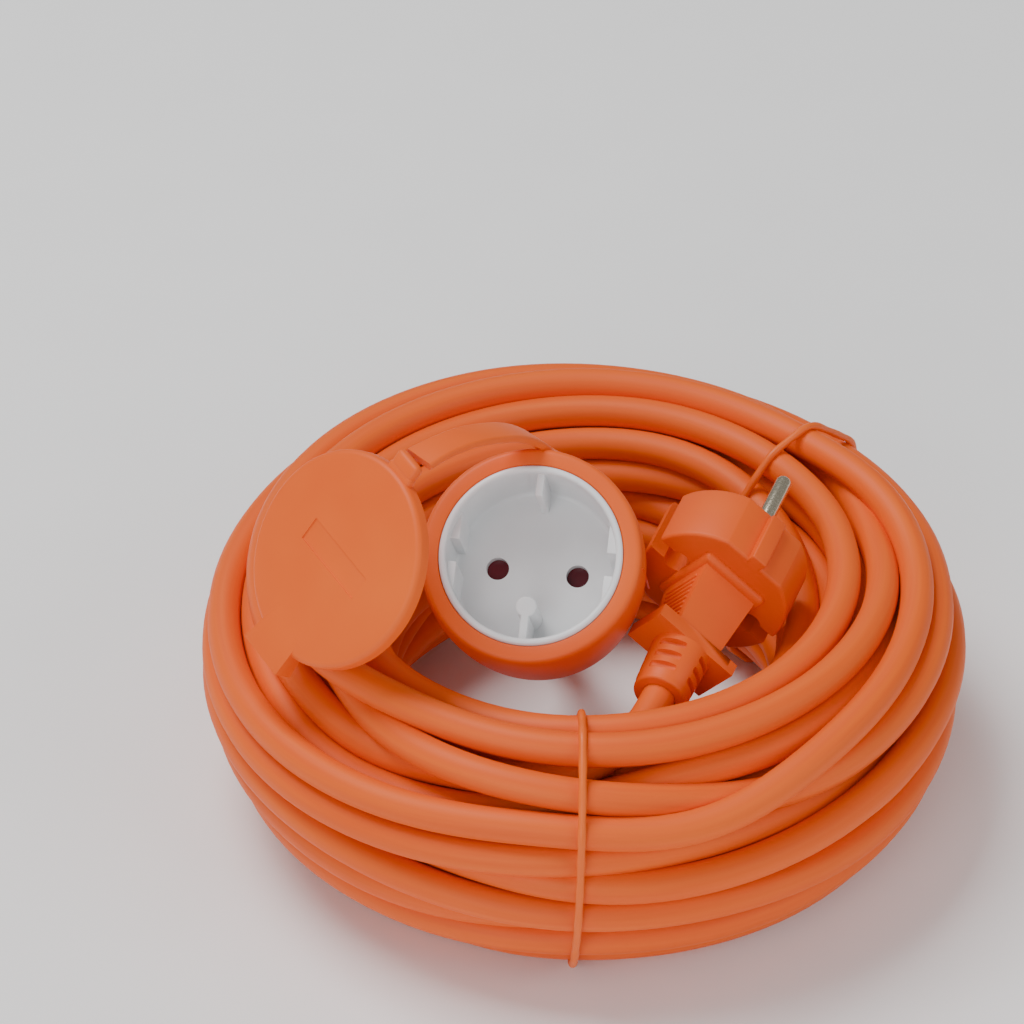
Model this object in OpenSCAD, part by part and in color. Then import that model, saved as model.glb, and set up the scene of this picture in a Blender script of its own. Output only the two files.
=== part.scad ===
// Two-pole extension cord, 15 m, coiled and tied, with a capped in-line socket and a moulded plug.
// Millimetres. The origin is on the floor under the middle of the coil, +Z up.

/* [Cord] */
// Outside diameter of the cord
cord_d = 8; // [7:0.5:9]
// Outside diameter of each insulated core
core_d = 2.4; // [2.2:0.1:2.6]

/* [Coil] */
// Radius of the ring that the turns lie around
coil_r = 70; // [70:1:90]
// Half the width of the bundle of turns
coil_half_w = 23; // [20:1:25]
// Half the height of the bundle of turns
coil_half_h = 34.5; // [33:0.5:36]
// Diameter of the tie's round string
tie_d = 1.8; // [1.2:0.1:2.4]
// Places of the ties round the coil, in degrees
tie_at = [-92, 41];

/* [Socket] */
// Middle of the socket's face
socket_pos = [-13, -24, 83];
// Lean of the socket's face from level, and its turn about Z, in degrees
socket_turn = [39, 0, -9];
// Largest radius of the bell-shaped housing
bell_r = 26.2; // [25:0.1:28]
// Length of the bell from its face to its sleeve
bell_len = 50; // [48:1:56]
// Length of the socket's flexible sleeve
socket_sleeve_len = 22; // [18:1:24]
// Radius of the insert's outer wall
insert_r = 21.5; // [21.3:0.1:21.8]
// Radius of the recess that takes a plug
recess_r = 19.75; // [19.5:0.05:19.9]
// Depth of the recess
recess_depth = 17.5; // [16:0.5:18]
// Distance between the two contacts
pole_gap = 19; // [18.8:0.1:19.2]
// Radius of the holes that the pins go in
pin_hole_r = 2.7; // [2.6:0.05:2.9]

/* [Lid] */
// Middle of the lid's inner face when it lies open
lid_pos = [-55.5, -34.8, 89.7];
// Lean of the open lid from level, and its turn about Z, in degrees
lid_turn = [55, 0, -50];
// Spin of the open lid about its own middle, in degrees
lid_spin = -12;
// Radius of the lid
lid_r = 25.4; // [24:0.1:25.4]
// Thickness of the lid
lid_t = 4; // [3:0.5:5]
// Width of the pull tab
tab_w = 14; // [10:1:16]
// Width of the strap
strap_w = 7.6; // [6:0.2:9]
// Thickness of the strap
strap_t = 2; // [1.6:0.1:2.4]

/* [Plug] */
// Middle of the plug's face
plug_pos = [36, 4, 64];
// Lean of the plug's pins from straight up, and their turn about Z, in degrees
plug_turn = [0, 82, 68];
// Roll of the plug about its own axis, in degrees
plug_roll = 41;
// Radius of the plug's head
head_r = 18.5; // [18:0.1:18.8]
// Length of the head
head_len = 16; // [15:0.5:17]
// Distance from the plug's middle to each of its two flats
flat_x = 16.6; // [16:0.1:16.8]
// Radius of a pin
pin_r = 2; // [1.8:0.1:2.1]
// Length of a pin beyond the face
pin_len = 19; // [18:0.5:19.5]
// Distance from the face to the end of the plug's sleeve
plug_len = 52; // [51:1:60]

/* [Hidden] */

cord_orange = "#E8742E";
brass = "#C9A648";
pole_x = pole_gap / 2;
bore_r = cord_d / 2 + 0.05;
gap = 0.1;
coil_z = coil_half_h - 0.6;
floor_t = 2.5;
floor_back = -recess_depth - floor_t;
skirt_back = -30;
rim_up = 0.2;
carrier_front = floor_back - 3.2;
carrier_back = -33;
cavity_back = -37;
bell_straight = 8;
sleeve_r = 7.2;
jacket_end = -48;
key_post_y = -11.5;
flange_back = -38;
plug_jacket_end = -31;
front_wall = 3;
bridge_t = 3.4;
pin_neck_r = pin_r - 0.1;
pin_neck = 1;
ball_r = 2.2;
ball_y = lid_r + ball_r + 0.4;

// Free stretch of cord behind the socket: down its sleeve, then places on the way into the coil.
socket_route = [socket_point(jacket_end), socket_point(-60), socket_point(-bell_len - socket_sleeve_len),
    socket_point(-bell_len - socket_sleeve_len - 6), [-5, 29.5, 17.5], [-6, 35, 13], [-8, 40.5, 10],
    [-10.5, 46.5, 8], [-14, 52.5, 7.5], [-17.5, 57, 7.5]];

// Free stretch of cord behind the plug: down its sleeve, then places on the way into the coil.
plug_route = [plug_point(plug_jacket_end), plug_point(-43), plug_point(-plug_len),
    plug_point(-plug_len - 4), [10.6, -56.6, 55], [5.8, -62, 54.2]];

// The strap's middle line, in the socket's own directions.
strap_route = [[0, 26.9, -9], [-1.5, 27.7, -5], [-3, 28, -1], [-6, 27.2, 6], [-9, 25.3, 12.5],
    [-12.5, 23, 18], [-16, 20.5, 22.5], [-19.5, 17.5, 25.8], [-22.5, 14.8, 28], [-24.4, 12.8, 29.2]];

// ---- Directions and sweeps ----

function rot_x(a) = [[1, 0, 0], [0, cos(a), -sin(a)], [0, sin(a), cos(a)]];
function rot_y(a) = [[cos(a), 0, sin(a)], [0, 1, 0], [-sin(a), 0, cos(a)]];
function rot_z(a) = [[cos(a), -sin(a), 0], [sin(a), cos(a), 0], [0, 0, 1]];
function turned(t) = rot_z(t[2]) * rot_y(t[1]) * rot_x(t[0]);
function plug_point(z) = plug_pos + turned(plug_turn) * [0, 0, z];
function socket_point(z) = socket_pos + turned(socket_turn) * [0, 0, z];
function unit(v) = v / norm(v);
function heading(route, i) = unit(route[min(i + 1, len(route) - 1)] - route[max(i - 1, 0)]);
function across(d, hint) = unit(cross(d, hint));
function ring(route, i, section, hint) = let (d = heading(route, i), s = across(d, hint), u = cross(s, d))
    [for (p = section) route[i] + p[0] * s + p[1] * u];
function circle_section(r, n) = [for (k = [0:n - 1]) r * [cos(360 * k / n), sin(360 * k / n)]];

// A closed skin over the section, carried along the route.
module sweep(route, section, hint) {
    n = len(section);
    last = len(route) - 1;
    points = [for (i = [0:last]) each ring(route, i, section, hint)];
    sides = [for (i = [0:last - 1]) for (k = [0:n - 1]) let (a = i * n + k, b = i * n + (k + 1) % n)
        each [[a, b, b + n], [a, b + n, a + n]]];
    caps = [[for (k = [n - 1:-1:0]) k], [for (k = [0:n - 1]) last * n + k]];
    polyhedron(points, concat(sides, caps), convexity = 6);
}

module on_socket() { translate(socket_pos) rotate(socket_turn) children(); }
module on_lid() { translate(lid_pos) rotate(lid_turn) rotate([0, 0, lid_spin]) children(); }
module on_plug() { translate(plug_pos) rotate(plug_turn) rotate([0, 0, plug_roll]) children(); }

// ---- Coil, leads and ties ----

module coil() {
    section = [for (a = [0:10:350])
        [coil_r + coil_half_w * cos(a), max(0, coil_z + coil_half_h * sin(a))]];
    color(cord_orange) rotate_extrude($fn = 96) polygon(section);
}

module socket_lead() {
    color(cord_orange) sweep(socket_route, circle_section(cord_d / 2, 12), [1, 0, 0]);
}

module plug_lead() {
    color(cord_orange) sweep(plug_route, circle_section(cord_d / 2, 12), [0, 0, 1]);
}

module tie(at) {
    steps = 36;
    sides = 8;
    r = tie_d / 2;
    mid = [for (a = [0:steps - 1]) [coil_r + (coil_half_w + r) * cos(360 * a / steps), 0,
        max(r + 0.05, coil_z + (coil_half_h + r) * sin(360 * a / steps))]];
    points = [for (i = [0:steps - 1])
        let (d = unit(mid[(i + 1) % steps] - mid[(i + steps - 1) % steps]), s = [0, 1, 0], u = cross(s, d))
        for (p = circle_section(r, sides)) mid[i] + p[0] * s + p[1] * u];
    faces = [for (i = [0:steps - 1]) for (k = [0:sides - 1]) let (j = (i + 1) % steps, m = (k + 1) % sides)
        [i * sides + k, i * sides + m, j * sides + m, j * sides + k]];
    color(cord_orange) rotate([0, 0, at]) polyhedron(points, faces, convexity = 4);
}

module tie_front() { tie(tie_at[0]); }
module tie_back() { tie(tie_at[1]); }

// ---- Socket ----

// Outer radius of the bell at a depth below its face.
function bell_at(depth) = depth < bell_straight ? bell_r - 0.6 * pow(1 - depth / bell_straight, 2)
    : sleeve_r + 0.6 + (bell_r - sleeve_r - 0.6)
        * sqrt(max(0, 1 - pow((depth - bell_straight) / (bell_len - bell_straight), 1.8)));

module socket_housing() {
    outside = [for (k = [0:24]) let (d = 0.8 + (bell_len - 0.8) * sin(90 * k / 24)) [bell_at(d), -d]];
    color(cord_orange) on_socket() difference() {
        rotate_extrude($fn = 96)
            polygon(concat([[0, 0], [bell_at(0) - 0.8, 0]], outside, [[0, -bell_len]]));
        translate([0, 0, skirt_back - 0.4]) cylinder(r = insert_r + gap, h = 40, $fn = 96);
        translate([0, 0, cavity_back]) cylinder(r = 17.4, h = 10, $fn = 64);
        translate([0, 0, jacket_end]) cylinder(r1 = bore_r, r2 = 17.4, h = cavity_back - jacket_end, $fn = 64);
        translate([0, 0, -bell_len - 1]) cylinder(r = bore_r, h = 10, $fn = 48);
    }
}

// Ring grooves that leave ribs between them, so that a sleeve can bend.
module sleeve_windows(first, pitch, count, width, r_in, rib, turn) {
    for (k = [0:count - 1]) translate([0, 0, first - k * pitch]) difference() {
        cylinder(r = sleeve_r + 2, h = width, $fn = 48);
        translate([0, 0, -1]) cylinder(r = r_in, h = width + 2, $fn = 48);
        for (q = [0, 90]) rotate([0, 0, q + turn])
            translate([-sleeve_r - 3, -rib / 2, -1]) cube([2 * sleeve_r + 6, rib, width + 2]);
    }
}

module socket_sleeve() {
    color(cord_orange) on_socket() translate([0, 0, -bell_len]) difference() {
        translate([0, 0, -socket_sleeve_len])
            cylinder(r1 = sleeve_r - 0.9, r2 = sleeve_r, h = socket_sleeve_len, $fn = 64);
        translate([0, 0, -socket_sleeve_len - 1]) cylinder(r = bore_r, h = socket_sleeve_len + 2, $fn = 48);
        sleeve_windows(-4, 3.4, 5, 1.7, 5.4, 3.2, 45);
    }
}

module socket_insert() {
    color("#EDEEEE") on_socket() {
        difference() {
            union() {
                translate([0, 0, floor_back]) cylinder(r = insert_r, h = -floor_back + rim_up, $fn = 96);
                translate([0, 0, skirt_back]) cylinder(r = insert_r, h = 12, $fn = 96);
            }
            translate([0, 0, -recess_depth]) cylinder(r = recess_r, h = 40, $fn = 96);
            translate([0, 0, skirt_back - 1]) cylinder(r = 19.8, h = floor_back - skirt_back + 1, $fn = 96);
            for (x = [-pole_x, pole_x]) translate([x, 0, floor_back - 1]) cylinder(r = pin_hole_r, h = 9, $fn = 48);
            translate([0, 0, floor_back - 1]) cylinder(r = 1.2, h = 2.2, $fn = 32);
        }
        difference() {
            translate([0, 0, -recess_depth - 1]) cylinder(r = recess_r + 1, h = recess_depth - 1.2, $fn = 96);
            translate([-17.3, -30, -30]) cube([34.6, 60, 40]);
            translate([-30, -2.7, -30]) cube([60, 5.4, 40]);
        }
        translate([0, key_post_y, -recess_depth - 1]) cylinder(r = 2.5, h = recess_depth - 2.2, $fn = 32);
        translate([-1, -recess_r - 1, -recess_depth - 1]) cube([2, recess_r + 1 + key_post_y, recess_depth - 2.2]);
        translate([-0.9, 14.5, -recess_depth - 1]) cube([1.8, recess_r - 13.5, recess_depth - 0.4]);
    }
}

// Turning shutter behind the two holes: a hub, two blades and its stub pin.
module shutter() {
    color("#5A1020") on_socket() translate([0, 0, floor_back - 1.8]) {
        cylinder(r = 4.2, h = 1.5, $fn = 48);
        cylinder(r = 1.1, h = 2.7, $fn = 32);
        for (s = [0, 180]) rotate([0, 0, s]) {
            translate([0, -2.2, 0]) cube([pole_x, 4.4, 1.5]);
            translate([pole_x, 0, 0]) cylinder(r = 3.6, h = 1.5, $fn = 48);
        }
    }
}

module shutter_spring() {
    color("#B8BCC0") on_socket() translate([0, 0, floor_back - 2.8]) {
        difference() {
            cylinder(r = 3.3, h = 0.6, $fn = 48);
            translate([0, 0, -1]) cylinder(r = 2.7, h = 3, $fn = 48);
        }
        translate([0, 2.7, 0]) cube([9, 0.5, 0.6]);
    }
}

module contact_carrier() {
    depth = carrier_front - carrier_back;
    color("#C9CBCC") on_socket() translate([0, 0, carrier_back]) difference() {
        cylinder(r = 17.2, h = depth, $fn = 72);
        for (x = [-pole_x, pole_x]) translate([x, 0, -1]) cylinder(r = 3.6, h = depth + 2, $fn = 48);
        for (s = [-1, 1]) translate([-20, s * 14 - 6, -1]) cube([40, 12, depth + 2]);
    }
}

module contact_clip(x) {
    color(brass) on_socket() translate([x, 0, carrier_back - 1]) difference() {
        cylinder(r = 3.3, h = 10, $fn = 48);
        translate([0, 0, 1.5]) cylinder(r = 2.1, h = 10, $fn = 48);
        translate([-0.5, -5, 3]) cube([1, 10, 10]);
    }
}

module contact_clip_left() { contact_clip(-pole_x); }
module contact_clip_right() { contact_clip(pole_x); }

module socket_crimps() {
    color("silver") on_socket() for (x = [-pole_x, pole_x])
        translate([x, 0, carrier_back - 4]) cylinder(r = 1.7, h = 3, $fn = 32);
}

module socket_core(s) {
    end = carrier_back - 4;
    route = [[s * pole_x, 0, end], [s * pole_x, 0, end - 1.6], [s * 8, 0, end - 4.2],
        [s * 4.8, 0, end - 7], [s * 2.2, 0, end - 8.6], [s * 1.6, 0, end - 9.8], [s * 1.6, 0, jacket_end + 0.1]];
    on_socket() sweep(route, circle_section(core_d / 2, 8), [0, 1, 0]);
}

module socket_core_brown() { color("#6B3F22") socket_core(-1); }
module socket_core_blue() { color("#2B5FA8") socket_core(1); }

// ---- Lid and strap ----

module lid() {
    edge = [for (a = [0:15:90]) [lid_r - 1.6 + 1.6 * cos(a), lid_t - 1.6 + 1.6 * sin(a)]];
    color(cord_orange) on_lid() difference() {
        union() {
            rotate_extrude($fn = 96) polygon(concat([[0, 0], [lid_r, 0]], edge, [[0, lid_t]]));
            hull() {
                translate([-tab_w / 2, -lid_r - 4.4, 0]) cube([tab_w, 8, 2]);
                translate([-tab_w / 2, -lid_r - 4.4, 3.6]) cube([tab_w, 1.5, 1.6]);
                translate([-tab_w / 2 + 1.5, -lid_r + 5, 3.4]) cube([tab_w - 3, 1, 1]);
            }
        }
        translate([-11, -3, lid_t - 0.4]) cube([22, 6, 1]);
        translate([0, 0, -1]) difference() {
            cylinder(r = 22.6, h = 1.8, $fn = 96);
            cylinder(r = 19.4, h = 1.8, $fn = 96);
        }
    }
}

module strap_end() {
    color(cord_orange) on_lid() translate([0, ball_y, lid_t / 2]) sphere(r = ball_r, $fn = 32);
}

module lid_strap() {
    w = strap_w / 2;
    t = strap_t / 2;
    section = [[-w, -t], [w, -t], [w, t], [-w, t]];
    color(cord_orange) on_socket() sweep(strap_route, section, [0.3, 0.7, 0.3]);
}

// ---- Plug ----

module plug_outline() {
    difference() {
        intersection() {
            circle(r = head_r, $fn = 96);
            square([2 * flat_x, 60], center = true);
        }
        for (s = [-1, 1]) {
            translate([0, s * 11.5]) circle(r = 3.25, $fn = 32);
            translate([-2, s > 0 ? 11.5 : -31.5]) square([4, 20]);
        }
    }
}

module neck_slab(x, y, z) { translate([-x / 2, -y / 2, z]) cube([x, y, 0.5]); }

module plug_body() {
    color(cord_orange) on_plug() difference() {
        union() {
            translate([0, 0, -head_len]) linear_extrude(head_len) plug_outline();
            for (s = [-1, 1]) translate([s * 16.6 - 2.1, -2.1, -head_len]) cube([4.2, 4.2, head_len - 1.2]);
            hull() {
                neck_slab(17, 15.6, -head_len - 0.2);
                neck_slab(11.6, 12.6, flange_back + 3);
            }
            translate([-6.5, -11.5, flange_back]) cube([13, 23, 3.6]);
        }
        translate([-13.8, -4.3, -14.5]) cube([27.6, 8.6, 14.5 - front_wall]);
        for (s = [-1, 1]) translate([s * pole_x, 0, -front_wall - 1]) cylinder(r = 3.2, h = 9, $fn = 48);
        translate([0, 0, -26]) cylinder(r1 = bore_r, r2 = 4.2, h = 13, $fn = 48);
        translate([0, 0, flange_back - 1]) cylinder(r = bore_r, h = 14, $fn = 48);
    }
}

module plug_sleeve() {
    len = plug_len + flange_back;
    color(cord_orange) on_plug() translate([0, 0, flange_back]) difference() {
        translate([0, 0, -len]) cylinder(r1 = sleeve_r - 0.8, r2 = sleeve_r, h = len, $fn = 64);
        translate([0, 0, -len - 1]) cylinder(r = bore_r, h = len + 2, $fn = 48);
        sleeve_windows(-4.5, 4.2, 3, 2.2, 5.4, 3.6, 0);
    }
}

// Rigid bar that holds both pins inside the head.
module plug_bridge() {
    color("#2A2A2C") on_plug() translate([0, 0, -front_wall - gap - bridge_t]) difference() {
        translate([-13.6, -4.1, 0]) cube([27.2, 8.2, bridge_t]);
        for (s = [-1, 1]) translate([s * pole_x, 0, -1]) cylinder(r = pin_neck_r + 0.02, h = bridge_t + 2, $fn = 48);
    }
}

module pin(x) {
    tail = front_wall + bridge_t + 2.4;
    color(brass) on_plug() translate([x, 0, 0]) {
        translate([0, 0, -tail]) cylinder(r = pin_neck_r, h = tail + pin_neck, $fn = 48);
        translate([0, 0, pin_neck]) cylinder(r = pin_r, h = pin_len - pin_r - pin_neck, $fn = 48);
        translate([0, 0, pin_len - pin_r]) sphere(r = pin_r, $fn = 48);
    }
}

module pin_left() { pin(-pole_x); }
module pin_right() { pin(pole_x); }

module pin_collars() {
    color("#1E1D1C") on_plug() for (s = [-1, 1]) translate([s * pole_x, 0, -front_wall]) difference() {
        cylinder(r = 3.15, h = front_wall - 0.5, $fn = 48);
        translate([0, 0, -1]) cylinder(r = pin_neck_r + 0.02, h = 9, $fn = 48);
    }
}

module plug_crimps() {
    z = -front_wall - bridge_t - 2.4;
    color("silver") on_plug() for (s = [-1, 1]) translate([s * pole_x, 0, z - 2.4]) cylinder(r = 1.8, h = 2.4, $fn = 32);
}

module plug_core(s) {
    z = -front_wall - bridge_t - 4.8;
    route = [[s * pole_x, 0, z], [s * pole_x, 0, z - 0.6], [s * 8.4, 0, z - 1.6], [s * 6.2, 0, z - 1.9],
        [s * 3.6, 0, z - 2.2], [s * 2, 0, z - 3.8], [s * 1.6, 0, z - 7], [s * 1.6, 0, plug_jacket_end + 0.1]];
    on_plug() sweep(route, circle_section(core_d / 2, 8), [0, 1, 0]);
}

module plug_core_brown() { color("#6B3F22") plug_core(-1); }
module plug_core_blue() { color("#2B5FA8") plug_core(1); }

coil();
socket_lead();
plug_lead();
tie_front();
tie_back();
socket_housing();
socket_sleeve();
socket_insert();
shutter();
shutter_spring();
contact_carrier();
contact_clip_left();
contact_clip_right();
socket_crimps();
socket_core_brown();
socket_core_blue();
lid();
lid_strap();
strap_end();
plug_body();
plug_sleeve();
plug_bridge();
pin_left();
pin_right();
pin_collars();
plug_crimps();
plug_core_brown();
plug_core_blue();
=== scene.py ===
# %% [markdown]
# # A coiled extension cord
#
# A 15 m orange two-core cable, wound into a bundle and tied with string. A plug lies in its middle beside
# an in-line socket whose cap hangs open on a strap. The CAD model gives the sizes, the moving bodies and
# the inner pieces. This file gives the cord its real turns and the mouldings their finished skins.

# %% Load the frame
import math

import bmesh
import bpy
import numpy as np
from mathutils import Matrix, Vector


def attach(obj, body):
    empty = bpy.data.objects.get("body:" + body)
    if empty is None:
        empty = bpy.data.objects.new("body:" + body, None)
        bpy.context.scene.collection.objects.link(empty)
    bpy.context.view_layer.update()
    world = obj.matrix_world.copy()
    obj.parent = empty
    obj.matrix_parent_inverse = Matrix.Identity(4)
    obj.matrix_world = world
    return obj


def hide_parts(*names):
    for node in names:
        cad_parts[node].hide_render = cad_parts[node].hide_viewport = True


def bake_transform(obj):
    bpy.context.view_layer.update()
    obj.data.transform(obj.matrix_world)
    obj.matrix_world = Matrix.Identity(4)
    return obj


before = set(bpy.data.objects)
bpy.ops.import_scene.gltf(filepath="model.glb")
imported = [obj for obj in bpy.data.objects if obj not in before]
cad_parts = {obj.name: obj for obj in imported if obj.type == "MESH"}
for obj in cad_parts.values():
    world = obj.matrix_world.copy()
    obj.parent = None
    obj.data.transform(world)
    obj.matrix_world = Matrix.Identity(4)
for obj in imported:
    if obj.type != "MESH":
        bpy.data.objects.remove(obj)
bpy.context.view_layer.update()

MM = 0.001

# %% [markdown]
# The camera comes first. A long lens stands a little over a metre away, 37 degrees above the floor.
# Shift is not needed: the camera is only moved sideways and up until the bundle sits low in the view.

# %% Camera
RISE = math.radians(37)
DISTANCE = 1137 * MM
LENS_MM = 162
SIDE = -17.3 * MM
LIFT = 61.8 * MM

towards = Vector((0, -math.cos(RISE), math.sin(RISE)))
upwards = Vector((0, math.sin(RISE), math.cos(RISE)))
bpy.ops.object.camera_add(
    location=towards * DISTANCE + Vector((SIDE, 0, 0)) + upwards * LIFT,
    rotation=(math.pi / 2 - RISE, 0, 0))
camera = bpy.context.object
camera.data.lens = LENS_MM
camera.data.clip_start = 0.01
bpy.context.scene.camera = camera
print("camera at", [round(x, 3) for x in camera.location])

# %% [markdown]
# The socket, the plug and the cap lie at a slant. Each is modelled in its own directions, with its face at
# the origin and +Z out of its face, and is then laid in place. These three places repeat the CAD model's.

# %% Places of the three mouldings
def place(at_mm, turns):
    """The matrix that lays a piece at a point, turned by each (axis, degrees) in order."""
    m = Matrix.Translation(Vector(at_mm) * MM)
    for axis, degrees in turns:
        m = m @ Matrix.Rotation(math.radians(degrees), 4, axis)
    return m

ON_SOCKET = place((-13, -24, 83), [("Z", -9), ("X", 39)])
ON_LID = place((-55.5, -34.8, 89.7), [("Z", -50), ("X", 55), ("Z", -12)])
ON_PLUG = place((36, 4, 64), [("Z", 68), ("Y", 82), ("Z", 41)])

def point_on(matrix, x, y, z):
    """A place in millimetres in a moulding's own directions, as a point in the row frame."""
    return matrix @ Vector((x * MM, y * MM, z * MM))

print("socket face", [round(c, 4) for c in point_on(ON_SOCKET, 0, 0, 0)])

# %% [markdown]
# ## The cord
#
# The real cord is taken as 8 mm thick and 15 m long. The line made here has a little over 33 turns and
# comes out at about 14.5 m. Its two free stretches are lists of points that repeat the CAD model's leads,
# and a loop winds the turns between them. The turns near the floor are drawn in towards the middle, and
# every turn has a slot in the bundle's oval section, and it slides from its own slot to the next one on
# its way round, so the line never breaks. The slots alone would look machine-made, so each turn also
# wanders by a few millimetres. Then the turns push each other apart wherever they are closer than one
# diameter, slice by slice round the ring, and every push is smoothed along the cord. Most bends stay wider
# than four diameters, but a short stretch by the first turn is tighter, and a few turns stay squeezed into
# each other by about a millimetre.

# %% Sizes of the cord and the bundle
CORD_D = 8 * MM
COIL_R = 70 * MM
COIL_HALF_W = 23 * MM
COIL_HALF_H = 34.5 * MM
COIL_MID_Z = 33.9 * MM
LEAN = 5 * MM
LEAN_FROM_Z = 44 * MM
SLICES = 120
SLOTS = 34
REST_Z = 4.02 * MM
START_EASE = 44
END_EASE = 30
LOW_LEAD_Z = 12 * MM
CLIMB = 4 * MM
RELAX_STEPS = 420

socket_side = [point_on(ON_SOCKET, 0, 0, z) for z in (-49, -54, -60, -66, -72, -78)]
socket_side += [Vector(p) * MM for p in [
    (-5, 29.5, 17.5), (-6, 35, 13), (-8, 40.5, 10), (-10.5, 46.5, 8), (-14, 52.5, 7.5),
    (-18, 57.7, 7.4), (-23, 62, 7.4), (-29.5, 65.2, 7.4), (-37, 66.9, 7.4), (-45, 66.8, 7.4),
    (-53, 64.6, 7.4), (-60.2, 60.6, 7.4)]]
plug_side = [point_on(ON_PLUG, 0, 0, z) for z in (-32, -37, -43, -49, -55, -59)]
plug_side += [Vector(p) * MM for p in [
    (10.6, -56.6, 55), (5.8, -62, 54.4), (-0.1, -66.2, 54), (-6.8, -69, 53.8), (-13.9, -70.2, 53.8),
    (-20.6, -69.8, 53.8)]]
print(len(socket_side), "and", len(plug_side), "points on the free stretches")

# %% Slots in the bundle's section
def bundle_slots(count):
    """Places in the section for the turns, row by row from the floor up, nearest to the middle first."""
    rows = []
    step, rise = CORD_D * 1.04, CORD_D * 0.92
    for row in range(-5, 6):
        shift = 0.5 * (row % 2)
        for column in range(-4, 5):
            rows.append(((column + shift) * step, row * rise))
    half_w, half_h = COIL_HALF_W - CORD_D / 2, COIL_HALF_H - CORD_D / 2
    rows.sort(key=lambda s: (s[0] / half_w) ** 2 + (s[1] / half_h) ** 2)
    chosen = sorted(rows[:count], key=lambda s: (round(s[1] / rise), s[0]))
    levels = sorted({round(s[1] / rise) for s in chosen})
    ordered = []
    for i, level in enumerate(levels):
        row = [s for s in chosen if round(s[1] / rise) == level]
        ordered += row[::-1] if i % 2 == 0 else row
    return ordered

def draw_in(high):
    """How far the bundle draws in towards the middle, at a height in the section."""
    return LEAN * np.clip((LEAN_FROM_Z - COIL_MID_Z - high) / LEAN_FROM_Z, 0, 1)

slots = bundle_slots(SLOTS)
print(len(slots), "slots")

# %% First line of the turns
TURN_DEGREES = 360 / SLICES
START_ANGLE = math.radians(139)
NODES = (SLOTS - 1) * SLICES + 37
angles = START_ANGLE + np.arange(NODES) * math.radians(TURN_DEGREES)
turn = np.arange(NODES) / SLICES
START_SECTION = np.array([15.7, -26.5]) * MM
END_SECTION = np.array([3.3, 19.9]) * MM

def soften(values, width):
    """Values along the cord, each averaged with its neighbours under a bell curve."""
    reach = int(3 * width) + 1
    bell = np.exp(-0.5 * (np.arange(-reach, reach + 1) / width) ** 2)
    bell /= bell.sum()
    padded = np.concatenate([np.repeat(values[:1], reach, 0), values, np.repeat(values[-1:], reach, 0)])
    return np.stack([np.convolve(padded[:, c], bell, "valid") for c in range(values.shape[1])], 1)

def first_line(seed=7, wander=3.2 * MM):
    """The section place of every node: from slot to slot once a turn, with a slow wander of its own."""
    rng = np.random.default_rng(seed)
    places = [np.array(s) for s in slots]
    near_end = min(range(len(places)), key=lambda i: np.hypot(*(places[i] - END_SECTION)))
    places.append(places.pop(near_end))
    places = np.array(places + places[-1:])
    places[:, 0] -= draw_in(places[:, 1])
    line = np.stack([np.interp(turn, np.arange(len(places)), places[:, c]) for c in range(2)], 1)
    line = soften(line, SLICES / 6)
    for rate in (0.31, 0.73, 1.27, 1.9, 2.8):
        for c in range(2):
            size = wander * rng.uniform(0.5, 1.0) / (0.7 + rate)
            line[:, c] += size * np.sin(2 * math.pi * (rate * turn + rng.uniform()))
    reach = np.linspace(0, 1, SLICES // 2)[:, None]
    ease = reach * reach * (3 - 2 * reach)
    line[:len(reach)] = START_SECTION * (1 - ease) + line[:len(reach)] * ease
    line[-len(reach):] = line[-len(reach):] * (1 - ease) + END_SECTION * ease
    return line

section = first_line()
print(NODES, "nodes on", round(turn[-1], 2), "turns")

# %% Push the turns apart
GAP = 8.15 * MM
TIES = [math.radians(-92), math.radians(41)]

def near_tie(angle):
    """1 at a tie, falling to 0 some 25 degrees away from it."""
    away = [np.abs((angle - t + math.pi) % (2 * math.pi) - math.pi) for t in TIES]
    return np.exp(-(np.minimum(*away) / math.radians(14)) ** 2)

def in_space(line):
    """Section places as points in space."""
    r = COIL_R + line[:, 0]
    return np.stack([r * np.cos(angles), r * np.sin(angles), COIL_MID_Z + line[:, 1]], 1)

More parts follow.
